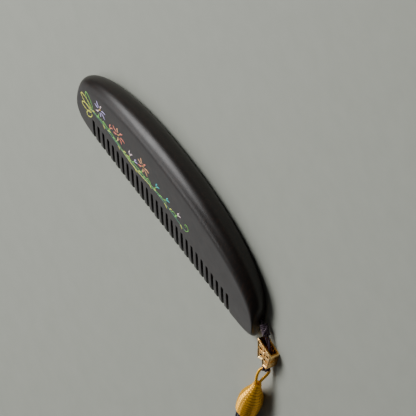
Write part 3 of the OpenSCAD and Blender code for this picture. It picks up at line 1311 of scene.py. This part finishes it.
@dataclass
class Tassel:
    """The gold loop, the head wound with gold thread and the black skirt."""

    turn_deg: float = -95.0
    loop_turn_deg: float = -86.5
    roll: float = math.radians(30)
    neck: Triple = (86.75, -37.8, 5.75)
    apex_z: float = 3.3
    neck_round: float = 2.0
    wire: float = 1.4
    loop_length: float = 8.7
    loop_half: float = 2.0
    neck_gap: float = 0.75
    neck_clear: float = 0.25
    head_round: float = 5.7
    head_length: float = 20.3
    winding: float = 1.4
    bulge: float = 0.42
    filaments: int = 3
    zigzags: int = 15
    zigzag: float = 0.16
    cup_round: float = 4.3
    cup_depth: float = 3.0
    skirt_length: float = 65.0
    skirt_round: float = 4.1
    skirt_end_w: float = 9.0
    skirt_end_h: float = 3.2
    fall: float = 16.0
    ragged: float = 5.0
    threads: int = 720
    thread: float = 0.3
    seed: int = 11
    loop_points: int = 48
    flare_end: float = 0.62
    draw_from: float = 0.7
    draw_over: float = 0.3
    draw_in: float = 0.5
    winding_rows: int = 14
    zigzag_columns: int = 8
    widening: float = 0.85
    flattening: float = 1.2
    packing: float = 0.96
    cover_pitch: float = 0.5
    fine_bulge: float = 0.07
    thread_steps: int = 20
    locks: int = 14

    def placed(self, turn_deg: float) -> Matrix:
        """Matrix from an axis of its own, along X from the neck, to the part's frame."""
        return Matrix.Translation(self.neck) @ Matrix.Rotation(math.radians(turn_deg), 4, "Z")

    def head_radius(self, s: float) -> float:
        """Radius of the wound head at a share of its length."""
        draw = self.draw_in * (max(s - self.draw_from, 0) / self.draw_over) ** 2
        return self.neck_round + (self.head_round - self.neck_round) * ease(s / self.flare_end) - draw

    def loop_line(self) -> list[Vector]:
        """Work out the loop's middle line, from the neck round its far end and back.

        Returns:
            Its points.
        """
        points = []
        placed = self.placed(self.loop_turn_deg)
        drop = self.apex_z - self.neck[2]
        for k in range(self.loop_points + 1):
            a = math.tau * k / self.loop_points
            out = self.loop_length * math.sin(a / 2)
            half = self.loop_half * math.sin(a) * max(math.sin(a / 2), 0.0) ** 0.35
            half += self.neck_gap * math.cos(a / 2)
            z = half * math.cos(self.roll) + drop * ease(out / self.loop_length)
            points.append(placed @ Vector((-out - self.neck_clear, -half * math.sin(self.roll), z)))
        return smooth_path(points, 0.09)

    def build_loop(self, finish: Material) -> Piece:
        """Make the loop, a cord covered with fine gold winding.

        Args:
            finish: the gold thread.

        Returns:
            The loop, which replaces the CAD node.
        """

        def covered(angle: float, far: float) -> float:
            """Radius of the cord under and between the turns of its winding."""
            wind = abs(math.sin(math.pi * far / self.cover_pitch + angle / 2))
            return self.wire / 2 * (0.9 + 0.1 * wind)

        bm = bmesh.new()
        tube(bm, self.loop_line(), 20, covered)
        return finish_piece(bm, "gold_loop", finish, ["tassel_loop"], 80)

    def build_head(self, finish: Material) -> Piece:
        """Make the head: zigzag windings outside, and the cup that holds the skirt.

        Args:
            finish: the gold thread.

        Returns:
            The head, which replaces the CAD node.
        """
        windings = int(self.head_length / self.winding)
        outside = self.winding_rows * windings
        round_steps = self.zigzag_columns * self.zigzags
        placed = self.placed(self.turn_deg)
        floor = self.head_length - self.cup_depth
        cup = (
            (self.head_length + 0.1, self.cup_round + 0.35),
            (self.head_length, self.cup_round),
            (floor, self.cup_round),
            (floor, 0.0),
        )
        shade_in_grooves = {}

        def place(i: int, j: int) -> Vector:
            """Place of one vertex, from the neck over the windings into the cup."""
            turn = (i % round_steps) / round_steps
            if j == 0:
                s, r = 0.0, 0.0
            elif j <= outside + 1:
                share = (j - 1) / outside
                s = share * self.head_length
                saw = abs(turn * self.zigzags % 1 - 0.5) * 2
                phase = share * windings + self.zigzag * saw
                coarse = abs(math.sin(math.pi * phase)) ** 0.7
                fine = abs(math.sin(math.pi * phase * self.filaments))
                # The deeper into a groove, the more painted shade
                shade_in_grooves[i, j] = (1 - coarse) ** 2
                r = self.head_radius(share) - self.bulge * (1 - coarse) - self.fine_bulge * (1 - fine)
            else:
                s, r = cup[j - outside - 2]
            angle = math.tau * turn
            return placed @ Vector((s, r * math.cos(angle), r * math.sin(angle)))

        bm = bmesh.new()
        layer = bm.verts.layers.float.new("groove_shade")
        for v, key in mapped_grid(bm, round_steps, outside + 5, place).items():
            v[layer] = shade_in_grooves.get(key, 0.0)
        return finish_piece(bm, "tassel_head_winding", finish, ["tassel_head"], 75)

    def build_skirt(self, finish: Material) -> Piece:
        """Make the skirt of loose threads, which leave the cup and fall to the surface.

        Args:
            finish: the black thread.

        Returns:
            The skirt, which replaces the CAD node.
        """
        chance = random.Random(self.seed)
        start = self.head_length - self.cup_depth + 0.15
        placed, floor = self.placed(self.turn_deg), -self.neck[2]
        bm = bmesh.new()
        layer = bm.verts.layers.float.new("strand")
        for _ in range(self.threads):
            angle = chance.uniform(0, math.tau)
            reach = math.sqrt(chance.uniform(0.25, 1.0)) * self.packing
            length = self.skirt_length - self.ragged * chance.random() ** 2
            sway, phase = chance.uniform(0.1, 0.5), chance.uniform(0, math.tau)
            drift = chance.gauss(0, 0.12)
            line = []
            for n in range(self.thread_steps + 1):
                q = n / self.thread_steps * length / self.skirt_length
                wider, flatter = ease(q * self.widening), ease(q * self.flattening)
                half_w = self.skirt_round + (self.skirt_end_w - self.skirt_round) * wider
                half_h = self.skirt_round + (self.skirt_end_h - self.skirt_round) * flatter
                fallen = ease((q * self.skirt_length - self.cup_depth) / self.fall)
                z = half_h + (self.neck[2] - half_h) * (1 - fallen) + floor
                a = angle + drift * q
                rim = reach * (1 - 0.03 * math.cos(self.locks * a))
                wave = sway * ease(2 * q) * math.sin(7 * q + phase)
                y = half_w * rim * math.cos(a) + wave
                z += half_h * rim * math.sin(a) + 0.3 * wave
                z = max(z, self.thread / 2 + 0.02 + floor)
                line.append(placed @ Vector((start + q * self.skirt_length, y, z)))
            tone = chance.random()
            for v in tube(bm, line, 4, lambda a, s: self.thread / 2):
                v[layer] = tone
        return finish_piece(bm, "silk_skirt", finish, ["tassel_skirt"], 80)


# Stage


@dataclass(frozen=True)
class Studio:
    """The plain floor, the soft lights and the camera at the photograph's angle."""

    camera_at: Triple = (934.24, 1352.5, 898.82)
    right: Triple = (0.534938, 0.187319, -0.823864)
    down: Triple = (0.686933, -0.664141, 0.295025)
    ahead: Triple = (-0.491898, -0.72376, -0.48395)
    focal_px: float = 4185.8
    picture_px: float = 416.0
    sensor: float = 36.0
    light_far: float = 1.2
    floor_reach: float = 3000.0
    floor_gap: float = 0.05

    def add_camera(self) -> None:
        """Add the camera and make it the scene's own."""
        data = bpy.data.cameras.new("view")
        data.sensor_width = self.sensor
        data.lens = self.focal_px / self.picture_px * self.sensor
        data.clip_start, data.clip_end = 0.05, 20.0
        camera = add_object("view", data)
        columns = (Vector(self.right), -Vector(self.down), -Vector(self.ahead))
        turn = Matrix([c.normalized() for c in columns]).transposed().to_4x4()
        camera.matrix_world = Matrix.Translation(Vector(self.camera_at) * MM) @ turn
        bpy.context.scene.camera = camera

    def add_floor(self, finish: Material) -> None:
        """Lay the floor just under the comb.

        Args:
            finish: the card.
        """
        bm = bmesh.new()
        bmesh.ops.create_grid(bm, x_segments=1, y_segments=1, size=self.floor_reach)
        bmesh.ops.translate(bm, vec=(0, 0, -self.floor_gap), verts=bm.verts)
        floor = to_object(bm, "floor")
        floor.data.materials.append(finish)

    def add_light(self, name: str, azimuth: float, height: float, size: Pair, power: float) -> None:
        """Add a soft rectangular light that faces the comb.

        Args:
            name: the light's name.
            azimuth: its direction round the comb in degrees.
            height: its angle over the floor in degrees.
            size: its width and height in metres.
            power: its power in watts.
        """
        data = bpy.data.lights.new(name, "AREA")
        data.shape = "RECTANGLE"
        data.size, data.size_y = size
        data.energy = power
        rise = math.radians(height)
        way = (toward(azimuth) * math.cos(rise)).to_3d()
        way.z = math.sin(rise)
        facing = way.to_track_quat("Z", "Y").to_matrix().to_4x4()
        add_object(name, data).matrix_world = Matrix.Translation(way * self.light_far) @ facing

    def add_sky(self, colour: str, strength: float) -> None:
        """Give the room an even soft light.

        Args:
            colour: its hex colour.
            strength: its strength.
        """
        world = bpy.data.worlds.new("room")
        world.use_nodes = True
        world.node_tree.nodes.clear()
        light = {"Color": linear(colour), "Strength": strength}
        sky = add_node(world.node_tree, "ShaderNodeBackground", light, "Background")
        add_node(world.node_tree, "ShaderNodeOutputWorld", {"Surface": sky})
        bpy.context.scene.world = world

    def build(self) -> None:
        """Set the whole stage."""
        self.add_floor(PalePaper().build())
        self.add_sky("#ffffff", 0.06)
        self.add_light("window", 143, 41, (0.75, 0.6), 16.0)
        self.add_light("skylight", 195, 52, (1.2, 0.6), 7.0)
        self.add_light("bounce_panel", 234, 18, (1.3, 0.85), 1.8)
        self.add_camera()


def main() -> None:
    """Build the comb, its painting, cord, charm and tassel, and the stage."""
    logging.basicConfig(level=logging.INFO, format="%(name)s: %(message)s")
    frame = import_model()

    comb = Comb()
    comb.build(PolishedEbony().build())
    VinePainting(comb).build(PaintedLacquer().build())

    waxed = WaxedCord().build()
    cord = Cord()
    strand, line = cord.build(waxed)
    lashing = cord.build_lashing(waxed)
    casting = Charm().build(CastGold().build(), frame["nodes"]["charm"].data)

    tassel = Tassel()
    hitch = cord.build_hitch(waxed, tassel.loop_line())
    gold = GoldThread().build()
    loop = tassel.build_loop(gold)
    head = tassel.build_head(gold)
    tassel.build_skirt(BlackSilk().build())

    length = sum((b - a).length for a, b in zip(line, line[1:]))
    LOG.info("cord length %.1f mm", length)
    [list(p * MM) for p in line]
    Studio().build()


if __name__ == "__main__":
    main()
